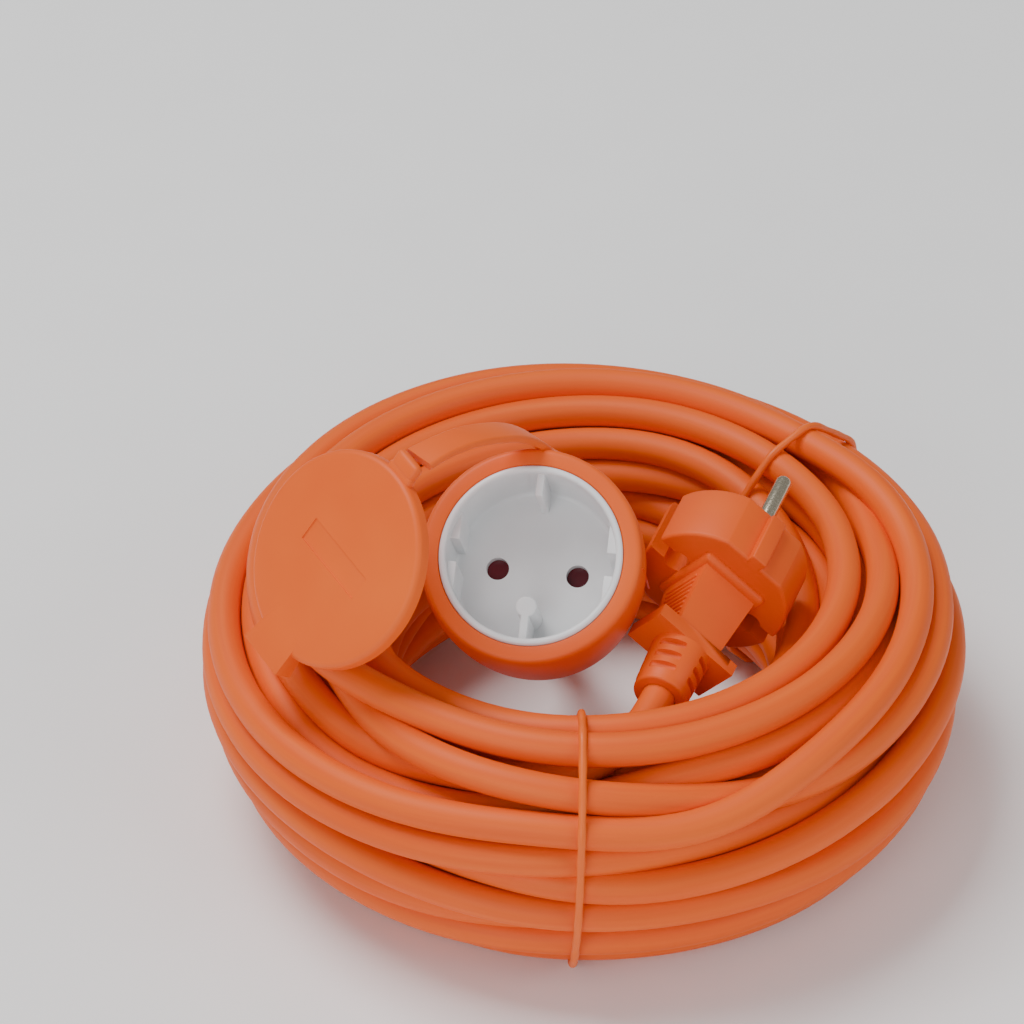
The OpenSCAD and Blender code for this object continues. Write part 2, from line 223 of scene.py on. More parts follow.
def relax(line, free_ends, steps):
    """Turns closer than one diameter push each other apart, and the bundle's outline holds them in."""
    rows = -(-NODES // SLICES)
    spare = rows * SLICES - NODES
    tie = near_tie(angles)[:, None]
    half = (np.array([COIL_HALF_W, COIL_HALF_H]) - CORD_D / 2) * (1 - 0.035 * tie)
    outward = np.stack([np.cos(angles), np.sin(angles)], 1)
    pinned = np.ones(NODES)
    pinned[:START_EASE] = np.linspace(0, 1, START_EASE) ** 2
    pinned[-END_EASE:] = np.linspace(1, 0, END_EASE) ** 2
    # Turns that meet a stretch low on the floor climb over it.
    climb = np.where(free_ends[:, 2:] < LOW_LEAD_Z, CLIMB, 0) * np.array([[0, 0, 1]])
    for step in range(steps):
        grid = np.concatenate([line, np.full((spare, 2), 9.0)]).reshape(rows, SLICES, 2)
        apart = grid[:, None] - grid[None]
        far = np.maximum(np.hypot(apart[..., 0], apart[..., 1]), 1e-6)
        press = np.where(far < GAP, (GAP - far) / far, 0)
        press[np.arange(rows), np.arange(rows)] = 0
        push = 0.5 * (press[..., None] * apart).sum(1).reshape(-1, 2)[:NODES]
        if step % 2 == 0:
            spot = in_space(line)
            lead = spot[:, None] - free_ends[None]
            far = np.maximum(np.linalg.norm(lead, axis=2), 1e-6)
            lead = lead + climb
            lead /= np.maximum(np.linalg.norm(lead, axis=2), 1e-6)[..., None]
            press = np.where(far < GAP, GAP - far, 0)[..., None] * lead
            shove = press[np.arange(NODES), np.argmin(far, 1)]
        push[:, 0] += (shove[:, :2] * outward).sum(1)
        push[:, 1] += shove[:, 2]
        inside = line + np.stack([draw_in(line[:, 1]), np.zeros(NODES)], 1)
        out = np.sqrt(((inside / half) ** 2).sum(1))[:, None]
        push -= 0.35 * inside * np.clip(1 - 1 / out, 0, None)
        low = np.clip(REST_Z - (COIL_MID_Z + line[:, 1]), 0, None)
        push[:, 1] += low
        push = 1.5 * soften(push, 3.5) + 0.15 * (soften(line, 4) - line)
        line = line + pinned[:, None] * np.clip(push, -1.2 * MM, 1.2 * MM)
        line[:, 1] = np.maximum(line[:, 1], REST_Z - COIL_MID_Z)
    return line

def every(points, spacing):
    """The same line with a point at each spacing along it."""
    points = np.asarray(points)
    along = np.concatenate([[0], np.cumsum(np.linalg.norm(np.diff(points, axis=0), axis=1))])
    marks = np.linspace(0, along[-1], int(round(along[-1] / spacing)) + 1)
    return np.stack([np.interp(marks, along, points[:, c]) for c in range(3)], 1)

free_ends = np.concatenate([every(socket_side, 2 * MM), every(plug_side, 2 * MM)])
section = relax(section, free_ends, RELAX_STEPS)
print("section from", (section.min(0) / MM).round(1), "to", (section.max(0) / MM).round(1), "mm")

# %% One line from the socket to the plug
whole = np.concatenate([np.array(socket_side), in_space(section), np.array(plug_side)[::-1]])
whole = every(whole, 2 * MM)
whole = every(np.concatenate([whole[:1], soften(whole, 2.6)[1:-1], whole[-1:]]), 4 * MM)
steps = np.linalg.norm(np.diff(whole, axis=0), axis=1)
print("cord centreline", round(float(steps.sum()), 3), "m in", len(whole), "points")

# %% Skin a line with a section
def round_section(radius, sides):
    """The corners of a round section."""
    return [(radius * math.cos(a), radius * math.sin(a)) for a in np.arange(sides) * 2 * math.pi / sides]

def skin(name, line, section, hint=None, sizes=None, closed=False):
    """A closed tube mesh along a line. Its UV map is 0 to 1 round the section and metres along the line.

    With a hint the section's first axis stays square to that direction, otherwise it never twists."""
    line = np.asarray(line, float)
    section = np.asarray(section, float)
    count, sides = len(line), len(section)
    ahead, behind = np.roll(line, -1, 0), np.roll(line, 1, 0)
    along = ahead - behind if closed else np.gradient(line, axis=0)
    along /= np.linalg.norm(along, axis=1)[:, None]
    side = np.cross(along[0], (0.3, 0.2, 0.9) if hint is None else hint)
    rings = []
    for i, (here, way) in enumerate(zip(line, along)):
        if hint is not None:
            side = np.cross(way, hint)
        side = side - way * side.dot(way)
        side /= np.linalg.norm(side)
        corners = section if sizes is None else section * sizes[i]
        rings.append(here + corners[:, :1] * side + corners[:, 1:] * np.cross(way, side))
    metres = np.concatenate([[0], np.cumsum(np.linalg.norm(np.diff(line, axis=0), axis=1))])
    metres = np.append(metres, metres[-1] + np.linalg.norm(line[0] - line[-1]))
    faces, flat = [], []
    for i in range(count if closed else count - 1):
        n = (i + 1) % count
        for j in range(sides):
            k = (j + 1) % sides
            faces.append((i * sides + j, i * sides + k, n * sides + k, n * sides + j))
            flat += [j / sides, metres[i], (j + 1) / sides, metres[i]]
            flat += [(j + 1) / sides, metres[i + 1], j / sides, metres[i + 1]]
    tube = len(faces)
    if not closed:
        faces.append(tuple(range(sides))[::-1])
        faces.append(tuple((count - 1) * sides + j for j in range(sides)))
        flat += [0.0, 0.0] * (2 * sides)
    mesh = bpy.data.meshes.new(name)
    mesh.from_pydata(np.concatenate(rings).tolist(), [], faces)
    mesh.uv_layers.new(name="UVMap").data.foreach_set("uv", flat)
    mesh.polygons.foreach_set("use_smooth", [True] * tube + [False] * (len(faces) - tube))
    piece = bpy.data.objects.new(name, mesh)
    bpy.context.collection.objects.link(piece)
    return piece

cord = skin("cord", whole, round_section(CORD_D / 2, 14))
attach(cord, "cord_set")
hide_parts("coil", "socket_lead", "plug_lead")
print("cord", len(cord.data.polygons), "faces")

# %% [markdown]
# ## How the other pieces are made
#
# The mouldings are modelled by hand: a primitive at its size, shaped in edit mode, then finished with
# modifiers. Three small helpers keep that short. One selects, one turns an outline round an axis, one lets
# a piece cut or join another. Each moulding is made upright in its own directions, in millimetres that
# are scaled once, and only its mesh is carried to its place, so its object stays at the origin.

# %% Selecting and finishing
def alone(piece):
    """Only this piece selected and active."""
    bpy.ops.object.select_all(action="DESELECT")
    piece.select_set(True)
    bpy.context.view_layer.objects.active = piece

def edit(piece, choose=None, kind="FACE"):
    """Edit mode on a piece with the chosen vertices, edges or faces selected, or with all of them."""
    alone(piece)
    bpy.ops.object.mode_set(mode="EDIT")
    bpy.ops.mesh.select_mode(type=kind)
    bpy.ops.mesh.select_all(action="SELECT" if choose is None else "DESELECT")
    if choose is not None:
        mesh = bmesh.from_edit_mesh(piece.data)
        for part in {"VERT": mesh.verts, "EDGE": mesh.edges, "FACE": mesh.faces}[kind]:
            if choose(part):
                part.select_set(True)
        mesh.select_flush_mode()
        bmesh.update_edit_mesh(piece.data)

def done():
    """Back to object mode."""
    bpy.ops.object.mode_set(mode="OBJECT")

def apply_place(piece):
    """The object's place, turn and size go into its mesh."""
    alone(piece)
    bpy.ops.object.transform_apply(location=True, rotation=True, scale=True)

def change(piece, kind, **settings):
    """A modifier with its settings, applied at once."""
    alone(piece)
    modifier = piece.modifiers.new(kind.title(), kind)
    for key, value in settings.items():
        setattr(modifier, key, value)
    bpy.ops.object.modifier_apply(modifier=modifier.name)

def combine(piece, other, how):
    """The piece with another joined to it or cut from it. The other is used up."""
    change(piece, "BOOLEAN", operation=how, object=other, solver="EXACT")
    bpy.data.objects.remove(other, do_unlink=True)

def joined(pieces):
    """Several pieces as one mesh, which keeps the first one's name."""
    bpy.ops.object.select_all(action="DESELECT")
    for piece in pieces:
        piece.select_set(True)
    bpy.context.view_layer.objects.active = pieces[0]
    bpy.ops.object.join()
    return bpy.context.object

def block(size, at, round_by=0.3, turn=0.0):
    """A box with softly rounded edges, in millimetres, in a moulding's own directions."""
    bpy.ops.object.select_all(action="DESELECT")
    bpy.ops.mesh.primitive_cube_add(size=1, location=Vector(at) * MM, rotation=(0, 0, turn))
    piece = bpy.context.object
    piece.scale = Vector(size) * MM
    apply_place(piece)
    edit(piece, kind="EDGE")
    bpy.ops.mesh.bevel(offset=round_by * MM, segments=3, affect="EDGES")
    done()
    return piece

def rod(radius, low, high, at=(0, 0), sides=64, round_by=0.0):
    """A round bar between two heights, its ends rounded if asked, in millimetres."""
    bpy.ops.object.select_all(action="DESELECT")
    middle = Vector((at[0], at[1], (low + high) / 2)) * MM
    bpy.ops.mesh.primitive_cylinder_add(vertices=sides, radius=radius * MM, depth=(high - low) * MM,
                                        location=middle)
    piece = bpy.context.object
    apply_place(piece)
    if round_by:
        edit(piece, lambda e: len(e.link_faces) == 2 and e.calc_face_angle() > 1, "EDGE")
        bpy.ops.mesh.bevel(offset=round_by * MM, segments=4, affect="EDGES")
        done()
    return piece

def lathe(name, outline, steps=128):
    """A closed ring shape: one vertex is extruded along an outline of (radius, height), then spun."""
    bpy.ops.object.select_all(action="DESELECT")
    bpy.ops.mesh.primitive_plane_add(size=1 * MM, location=(0, 0, 0))
    piece = bpy.context.object
    piece.name = name
    piece.data.name = name
    edit(piece, kind="VERT")
    bpy.ops.mesh.merge(type="CENTER")
    start = Vector((outline[0][0], 0, outline[0][1])) * MM
    bpy.ops.transform.translate(value=start)
    for (r0, z0), (r1, z1) in zip(outline, outline[1:]):
        step = Vector((r1 - r0, 0, z1 - z0)) * MM
        bpy.ops.mesh.extrude_region_move(TRANSFORM_OT_translate={"value": step})
    bpy.ops.mesh.select_all(action="SELECT")
    bpy.ops.mesh.spin(steps=steps, angle=2 * math.pi, center=(0, 0, 0), axis=(0, 0, 1))
    bpy.ops.mesh.select_all(action="SELECT")
    bpy.ops.mesh.remove_doubles(threshold=0.005 * MM)
    bpy.ops.mesh.normals_make_consistent(inside=False)
    done()
    return piece

def arc(middle, radius, start, end, count=6):
    """Points of an outline round a corner, from one angle to another, in degrees."""
    return [(middle[0] + radius * math.cos(a), middle[1] + radius * math.sin(a))
            for a in np.radians(np.linspace(start, end, count))]

def settle(piece, matrix, body, slot_name, finish, *nodes, smooth=35):
    """The finished piece: laid in its place, smoothed, coloured, tied to its body, with the CAD nodes it
    replaces hidden.

    A piece with no body is one that reaches between two bodies, and is left unattached."""
    piece.data.transform(matrix)
    alone(piece)
    edit(piece)
    bpy.ops.mesh.remove_doubles(threshold=0.002 * MM)
    bpy.ops.mesh.normals_make_consistent(inside=False)
    done()
    bpy.ops.object.shade_smooth_by_angle(angle=math.radians(smooth))
    piece.data.materials.clear()
    piece.data.materials.append(finish)
    if body:
        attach(piece, body)
    if nodes:
        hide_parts(*nodes)
    print(piece.name, len(piece.data.polygons), "faces")
    return piece

# %% [markdown]
# ## Finishes
#
# Nearly everything is soft PVC in one orange. What tells the pieces apart is how each was made: the cord
# is drawn through a die and keeps faint lines along its length, while the mouldings keep the fine grain
# of their eroded steel mould. Both come from Noise textures, one stretched along the UV map and one in
# object space, with their sizes worked out from millimetres.

# %% Colours and nodes
def colour(hex_code):
    """An sRGB hex colour as the linear numbers that a shader wants."""
    parts = [int(hex_code[i:i + 2], 16) / 255 for i in (1, 3, 5)]
    return tuple(p / 12.92 if p <= 0.04045 else ((p + 0.055) / 1.055) ** 2.4 for p in parts) + (1.0,)

def add(tree, kind, settings=None, links=None):
    """One node: its settings are properties or input values, its links say which output feeds an input."""
    node = tree.nodes.new(kind)
    for key, value in (settings or {}).items():
        if key in node.inputs:
            node.inputs[key].default_value = value
        else:
            setattr(node, key, value)
    for key, (source, output) in (links or {}).items():
        tree.links.new(source.outputs[output], node.inputs[key])
    return node

def new_finish(name, **shader):
    """A material with its Principled shader set, and the shader and tree to build on."""
    material = bpy.data.materials.new(name)
    material.use_nodes = True
    tree = material.node_tree
    body = tree.nodes["Principled BSDF"]
    for key, value in shader.items():
        body.inputs[key.replace("_", " ")].default_value = value
    return material, tree, body

def ramp(tree, source, output, stops):
    """A Color Ramp with its stops, fed by a source."""
    node = add(tree, "ShaderNodeValToRGB", links={"Fac": (source, output)})
    node.color_ramp.elements[0].position, node.color_ramp.elements[0].color = stops[0]
    node.color_ramp.elements[1].position, node.color_ramp.elements[1].color = stops[-1]
    for position, shade in stops[1:-1]:
        node.color_ramp.elements.new(position).color = shade
    return node

# %% Drawn PVC of the cord
def drawn_pvc():
    """Plasticised PVC drawn through a die and dulled by use: satin, with soft lines along the cord."""
    # An IOR of 1.45 is under PVC's own 1.53. It is chosen for a duller surface, here and on the mouldings.
    finish, tree, body = new_finish("drawn_pvc_orange", IOR=1.45)
    place_on = add(tree, "ShaderNodeUVMap", {"uv_map": "UVMap"})
    # Lines about 2 mm apart round the cord, and some 60 mm long.
    along = add(tree, "ShaderNodeMapping", {"Scale": (12.0, 16.0, 1.0)}, {"Vector": (place_on, "UV")})
    lines = add(tree, "ShaderNodeTexNoise", {"Scale": 1.0, "Detail": 3.0}, {"Vector": (along, "Vector")})
    tone = ramp(tree, lines, "Fac", [(0.3, colour("#E85A08")), (0.7, colour("#EE6610"))])
    spot = add(tree, "ShaderNodeTexCoord")
    # Patches some 60 mm wide, where the cord was handled.
    patch = add(tree, "ShaderNodeTexNoise", {"Scale": 16.0, "Detail": 2.0}, {"Vector": (spot, "Object")})
    rub = ramp(tree, patch, "Fac", [(0.35, (0.54, 0.54, 0.54, 1)), (0.7, (0.64, 0.64, 0.64, 1))])
    # Grain of 0.8 mm: the real one is finer, but would not show.
    grain = add(tree, "ShaderNodeTexNoise", {"Scale": 1250.0, "Detail": 2.0}, {"Vector": (spot, "Object")})
    rough = add(tree, "ShaderNodeBump", {"Strength": 0.05, "Distance": 0.0001}, {"Height": (grain, "Fac")})
    wavy = add(tree, "ShaderNodeBump", {"Strength": 0.12, "Distance": 0.0003},
               {"Height": (lines, "Fac"), "Normal": (rough, "Normal")})
    tree.links.new(tone.outputs["Color"], body.inputs["Base Color"])
    tree.links.new(rub.outputs["Color"], body.inputs["Roughness"])
    tree.links.new(wavy.outputs["Normal"], body.inputs["Normal"])
    return finish

def moulded_pvc(name, dark, light, gloss):
    """The same PVC from an eroded mould: a matt grain, a little glossier where it is handled."""
    finish, tree, body = new_finish(name, IOR=1.45)
    spot = add(tree, "ShaderNodeTexCoord")
    # Flow marks some 25 mm wide shift the orange a little.
    flow = add(tree, "ShaderNodeTexNoise", {"Scale": 40.0, "Detail": 2.0}, {"Vector": (spot, "Object")})
    tone = ramp(tree, flow, "Fac", [(0.3, colour(dark)), (0.7, colour(light))])
    # Mould grain of 0.5 mm, drawn coarser than the real 0.1 mm so that it shows.
    grain = add(tree, "ShaderNodeTexNoise", {"Scale": 2000.0, "Detail": 3.0}, {"Vector": (spot, "Object")})
    rub = ramp(tree, flow, "Fac", [(0.3, (gloss, gloss, gloss, 1)), (0.75, (gloss + 0.08,) * 3 + (1,))])
    rough = add(tree, "ShaderNodeBump", {"Strength": 0.12, "Distance": 0.0001}, {"Height": (grain, "Fac")})
    tree.links.new(tone.outputs["Color"], body.inputs["Base Color"])
    tree.links.new(rub.outputs["Color"], body.inputs["Roughness"])
    tree.links.new(rough.outputs["Normal"], body.inputs["Normal"])
    return finish

cord_pvc = drawn_pvc()
shell_pvc = moulded_pvc("moulded_pvc_orange", "#E65504", "#EC610A", 0.5)
lid_pvc = moulded_pvc("lid_pvc_orange", "#EA5C08", "#F06610", 0.52)
string_pvc = moulded_pvc("tie_string_orange", "#EA600C", "#F06C18", 0.4)
print("orange finishes ready")

# %% The other finishes
def plain_plastic(name, dark, light, gloss, grain_mm=0.5, ior=1.5):
    """A moulded plastic with a slight change of tone and a fine grain of the given size."""
    finish, tree, body = new_finish(name, IOR=ior, Roughness=gloss)
    spot = add(tree, "ShaderNodeTexCoord")
    flow = add(tree, "ShaderNodeTexNoise", {"Scale": 60.0, "Detail": 2.0}, {"Vector": (spot, "Object")})
    tone = ramp(tree, flow, "Fac", [(0.3, colour(dark)), (0.7, colour(light))])
    grain = add(tree, "ShaderNodeTexNoise", {"Scale": 1 / (grain_mm * MM)}, {"Vector": (spot, "Object")})
    rough = add(tree, "ShaderNodeBump", {"Strength": 0.06, "Distance": 0.0001}, {"Height": (grain, "Fac")})
    tree.links.new(tone.outputs["Color"], body.inputs["Base Color"])
    tree.links.new(rough.outputs["Normal"], body.inputs["Normal"])
    return finish

def worked_metal(name, dark, light, low, high, lines_mm=0.4):
    """A metal with fine tool lines: their roughness and tone change along the part."""
    finish, tree, body = new_finish(name, Metallic=1.0)
    spot = add(tree, "ShaderNodeTexCoord")
    marks = add(tree, "ShaderNodeTexNoise", {"Scale": 1 / (lines_mm * MM), "Detail": 3.0},
                {"Vector": (spot, "Object")})
    tone = ramp(tree, marks, "Fac", [(0.3, colour(dark)), (0.7, colour(light))])
    polish = ramp(tree, marks, "Fac", [(0.3, (low, low, low, 1)), (0.7, (high, high, high, 1))])
    rough = add(tree, "ShaderNodeBump", {"Strength": 0.04, "Distance": 0.0001}, {"Height": (marks, "Fac")})
    tree.links.new(tone.outputs["Color"], body.inputs["Base Color"])
    tree.links.new(polish.outputs["Color"], body.inputs["Roughness"])
    tree.links.new(rough.outputs["Normal"], body.inputs["Normal"])
    return finish

# Polyamide is a cool white with a soft gloss.
white_nylon = plain_plastic("white_polyamide", "#E2E4E5", "#ECEDEE", 0.34)
shutter_plastic = plain_plastic("maroon_polycarbonate", "#4A0C18", "#6B1524", 0.25)
collar_plastic = plain_plastic("black_polyamide", "#171514", "#211F1D", 0.4)
brown_core = plain_plastic("brown_core_pvc", "#5E3620", "#744528", 0.45)
blue_core = plain_plastic("blue_core_pvc", "#24509A", "#2F63B4", 0.45)
# Nickel over brass is a pale champagne: bright, with soft lines from polishing.
pin_metal = worked_metal("nickelled_brass", "#C9BCA2", "#E2D8C2", 0.16, 0.3)
contact_brass = worked_metal("pressed_brass", "#C39A45", "#DDBB6A", 0.25, 0.42)
spring_metal = worked_metal("drawn_spring_steel", "#9A9DA0", "#C4C7CA", 0.25, 0.4)
print("other finishes ready")

# %% [markdown]
# ## Socket housing
#
# The housing is one soft bell moulded over the insert. Its face is a flat ring with a rounded rim, and its
# side runs in a long egg-shaped curve down to the cord's sleeve. Turning its outline round the axis is the
# exact way to make it: it is the same outline as the CAD bell, with the rim's round and a fillet added.

# %% Bell
BELL_R, BELL_LEN, BELL_STRAIGHT = 26.2, 50.0, 8.0
SLEEVE_R = 7.2
INSERT_R = 21.5

def bell_at(depth):
    """Radius of the bell at a depth below its face."""
    if depth < BELL_STRAIGHT:
        return BELL_R - 0.6 * (1 - depth / BELL_STRAIGHT) ** 2
    part = (depth - BELL_STRAIGHT) / (BELL_LEN - BELL_STRAIGHT)
    return SLEEVE_R + 0.6 + (BELL_R - SLEEVE_R - 0.6) * math.sqrt(max(0, 1 - part ** 1.8))

rim = arc((bell_at(1.4) - 1.4, -1.4), 1.4, 90, 12, 7)
side = [(bell_at(d), -d) for d in 1.6 + (BELL_LEN - 2.2) * np.sin(np.radians(np.linspace(2, 90, 40)))]
foot = [(SLEEVE_R + 0.55, -49.9), (SLEEVE_R + 0.15, -50.0)]
inside = [(4.1, -50.0), (4.1, -48.0), (17.2, -37.0), (17.2, -30.2), (21.6, -30.2), (21.6, -0.35)]
face = arc((21.95, -0.35), 0.35, 180, 90, 4)
outline = face + rim + side + foot + inside
outline.append(outline[0])
bell = lathe("socket_bell", outline, 144)

# The mould's two halves leave a hair-thin line down each side of the bell.
for s in (-1, 1):
    seam = block((0.5, 0.22, 20), (s * (BELL_R - 0.12), 0, -12.5), 0.05)
    combine(bell, seam, "UNION")
settle(bell, ON_SOCKET, "cord_set", "moulded_orange", shell_pvc, "socket_housing", smooth=32)

# %% [markdown]
# ## Bend sleeves
#
# A sleeve is a tapered hose with rows of slots that let it bend with the cord. The slots are one rounded
# box that is copied round and along the axis, and all of them are cut at once. Each sleeve ends in a plain
# rounded collar.

# %% Sleeves
def slots_round(rows, angles_deg, size, radius, first, pitch):
    """Rounded boxes set round an axis in rows, joined as one cutter."""
    cutters = []
    for k in range(rows):
        for a in np.radians(angles_deg):
            z = first - k * pitch
            cutter = block(size, (0, 0, 0), 0.45)
            turned = Matrix.Rotation(a, 4, "Z") @ Matrix.Translation(Vector((radius, 0, z)) * MM)
            cutter.data.transform(turned)
            cutters.append(cutter)
    return joined(cutters)

def bend_sleeve(name, top, length, r_top, r_end, rows, pitch, slot_high, slot_wide, turn):
    """A slotted sleeve that hangs from a height in its moulding's own directions."""
    end = top - length
    outer = [(r_top, top), (r_top - 0.1, top - 1.5)]
    outer += [(r_end + 0.25, end + 2.6), (r_end, end + 2.2)]
    outer += arc((r_end - 0.7, end + 0.7), 0.7, 0, -90, 5)
    profile = outer + [(4.08, end), (4.08, top), (r_top, top)]
    sleeve = lathe(name, profile, 96)
    cutter = slots_round(rows, [turn, turn + 90, turn + 180, turn + 270], (3.2, slot_wide, slot_high),
                         r_top - 0.2, top - 2.6, pitch)
    combine(sleeve, cutter, "DIFFERENCE")
    return sleeve

socket_sleeve = bend_sleeve("socket_bend_sleeve", -50.0, 22.0, 7.25, 6.3, 5, 3.35, 1.7, 7.2, 0)
settle(socket_sleeve, ON_SOCKET, "cord_set", "moulded_orange", shell_pvc, "socket_sleeve")

# %% [markdown]
# ## White insert
#
# The insert is a cup with a thin rounded rim. Its floor has the two pin holes. A slim rib stands at the top
# of its wall, a rib with a round post at the bottom, and a pair of blocks with a channel between them at
# each side. The cup is turned, the ribs and blocks are rounded boxes and a cut-down cylinder, and all of
# them are joined to the cup as one moulding.

# %% Insert
RECESS_R, RECESS_DEEP, FLOOR = 19.75, 17.5, 2.5
POLE_X = 9.5
cup = [(INSERT_R, -30), (INSERT_R, -0.3)]
cup += arc((INSERT_R - 0.85, -0.3), 0.85, 0, 180, 9)
cup += [(RECESS_R, -2), (RECESS_R, -RECESS_DEEP + 1.2)]
cup += arc((RECESS_R - 1.2, -RECESS_DEEP + 1.2), 1.2, 0, -90, 6)
cup += [(0, -RECESS_DEEP), (0, -RECESS_DEEP - FLOOR), (19.8, -RECESS_DEEP - FLOOR)]
cup += [(19.8, -30), (INSERT_R, -30)]
insert = lathe("white_insert", cup, 128)

def side_block(s, t):
    """One of the four blocks: the part of a cylinder beyond a flat, to one side of the channel."""
    piece = rod(RECESS_R + 0.6, -RECESS_DEEP - 1, -2.2, sides=128)
    cuts = [((17.3 * s, 0, 0), (-s, 0, 0)), ((0, 2.7 * t, 0), (0, -t, 0)), ((0, 9.3 * t, 0), (0, t, 0))]
    for at, way in cuts:
        edit(piece)
        bpy.ops.mesh.bisect(plane_co=Vector(at) * MM, plane_no=way, use_fill=True, clear_outer=True)
        done()
    edit(piece, lambda e: len(e.link_faces) == 2 and e.calc_face_angle() > 0.9, "EDGE")
    bpy.ops.mesh.bevel(offset=0.25 * MM, segments=3, affect="EDGES")
    bpy.ops.mesh.select_all(action="SELECT")
    bpy.ops.mesh.normals_make_consistent(inside=False)
    done()
    return piece

for s in (-1, 1):
    for t in (-1, 1):
        combine(insert, side_block(s, t), "UNION")
combine(insert, block((1.8, 6.4, 17.2), (0, 17.7, -9.9), 0.35), "UNION")
combine(insert, block((1.9, 9.4, 15.6), (0, -15.9, -11.1), 0.35), "UNION")
combine(insert, rod(2.5, -18, -3.3, (0, -11.5), 48, 0.5), "UNION")
for s in (-1, 1):
    combine(insert, rod(2.7, -22, -15, (s * POLE_X, 0), 48), "DIFFERENCE")
combine(insert, rod(1.2, -22, -18.8, (0, 0), 32), "DIFFERENCE")
settle(insert, ON_SOCKET, "cord_set", "white_insert", white_nylon, "socket_insert", smooth=30)

cord.data.materials.append(cord_pvc)

# %% [markdown]
# ## Cap, strap and knuckle
#
# The cap is a shallow disc with a rounded edge, a groove underneath that fits over the insert's rim, a
# blank sunk panel and a wedge-shaped pull tab. The strap is one soft band. It grows out of the bell's
# side and ends in a small knuckle at the cap's edge. The strap is skinned along the CAD strap's own
# points, so that its curve follows the real one's.

# %% Cap
LID_R, LID_T = 25.4, 4.0
disc = [(0, 0), (19.3, 0), (19.5, 0.8), (22.5, 0.8), (22.7, 0), (LID_R - 0.5, 0), (LID_R, 0.5)]
disc += arc((LID_R - 1.5, LID_T - 1.5), 1.5, 0, 84, 8)
disc += [(16, LID_T), (0, LID_T)]
cap = lathe("socket_cap", disc, 160)

tab = block((14, 9.6, 3.6), (0, -24.9, 1.8), 0.05)
edit(tab, lambda v: v.co.y < -29 * MM and v.co.z > 2.5 * MM, "VERT")
bpy.ops.transform.translate(value=(0, 0, 1.5 * MM))
done()
edit(tab, lambda v: v.co.y > -21 * MM and abs(v.co.x) > 5 * MM, "VERT")
bpy.ops.transform.resize(value=(0.86, 1, 1))
done()
change(tab, "BEVEL", width=0.7 * MM, segments=4, limit_method="ANGLE", angle_limit=math.radians(40))
combine(cap, tab, "UNION")
combine(cap, block((22, 6, 1.2), (0, 0, LID_T + 0.25), 0.12), "DIFFERENCE")
combine(cap, block((8.6, 3.6, 2.6), (0, 25.2, 2), 1.0), "UNION")
settle(cap, ON_LID, "lid", "lid_orange", lid_pvc, "lid", smooth=28)

# %% Strap and knuckle
STRAP_W, STRAP_T = 7.6, 2.0

def rounded_band(width, thick, corner):
    """The corners of a flat section with rounded edges, in millimetres."""
    w, t = width / 2 - corner, thick / 2 - corner
    points = []
    for x, y, start in ((w, t, 0), (-w, t, 90), (-w, -t, 180), (w, -t, 270)):
        points += arc((x, y), corner, start, start + 90, 5)
    return np.array(points) * MM

strap_line = [(8.6, 23.0, -11.5), (5.8, 24.9, -10.8), (2.6, 26.2, -10), (0, 26.9, -9), (-1.5, 27.7, -5),
              (-3, 28, -1), (-6, 27.2, 6), (-9, 25.3, 12.5), (-12.5, 23, 18), (-16, 20.5, 22.5),
              (-19.5, 17.5, 25.8), (-22.5, 14.8, 28), (-24.4, 12.8, 29.2)]
strap_line = np.array([point_on(ON_SOCKET, *p) for p in strap_line])
fine = every(strap_line, 0.8 * MM)
fine = np.concatenate([fine[:1], soften(fine, 3)[1:-1], fine[-1:]])
share = np.linspace(0, 1, len(fine))
widths = np.interp(share, [0, 0.14, 0.25, 0.85, 1], [0.25, 0.85, 1, 1, 1.1])
thicks = np.interp(share, [0, 0.1, 0.25, 1], [0.7, 1.1, 1, 1])
strap_flat = tuple(ON_SOCKET.to_3x3() @ Vector((0.3, 0.7, 0.3)))
strap = skin("cap_strap", fine, rounded_band(STRAP_W, STRAP_T, 0.7), strap_flat,
             np.stack([widths, thicks], 1))
settle(strap, Matrix(), None, "lid_orange", lid_pvc, "lid_strap")
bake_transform(strap)

knuckle = block((8.2, 4.6, 3.0), (0, 27.9, 2), 1.3)
change(knuckle, "SUBSURF", levels=1, render_levels=1)
settle(knuckle, ON_LID, "strap_end", "lid_orange", lid_pvc, "strap_end", smooth=60)

# %% [markdown]
# ## Plug
#
# The plug's head is a thick disc with two flats, a lug on each flat and two keyhole slots. Behind it the
# body narrows to a ribbed neck that ends in a flange, which stops the hand, and then in a bend sleeve.
# The disc starts as a cylinder that is bisected for its flats, the neck as a box whose far face is scaled
# down, and the ribs are a row of thin rounded boxes.

# %% Head and neck
HEAD_R, HEAD_LEN, FLAT_X = 18.5, 16.0, 16.6
plug = rod(HEAD_R, -HEAD_LEN, 0, sides=144)
plug.name = "plug_moulding"
plug.data.name = "plug_moulding"
for s in (-1, 1):
    edit(plug)
    bpy.ops.mesh.bisect(plane_co=(s * FLAT_X * MM, 0, 0), plane_no=(s, 0, 0), use_fill=True, clear_outer=True)
    done()
change(plug, "BEVEL", width=0.9 * MM, segments=4, limit_method="ANGLE", angle_limit=math.radians(50))
for s in (-1, 1):
    keyhole = rod(3.25, -18, 2, (0, s * 11.5), 48)
    combine(keyhole, block((4, 12, 20), (0, s * 17.5, -8), 0.05), "UNION")
    combine(plug, keyhole, "DIFFERENCE")
    combine(plug, block((4.4, 4.2, HEAD_LEN - 1.2), (s * 16.5, 0, -HEAD_LEN / 2 - 0.6), 0.45), "UNION")

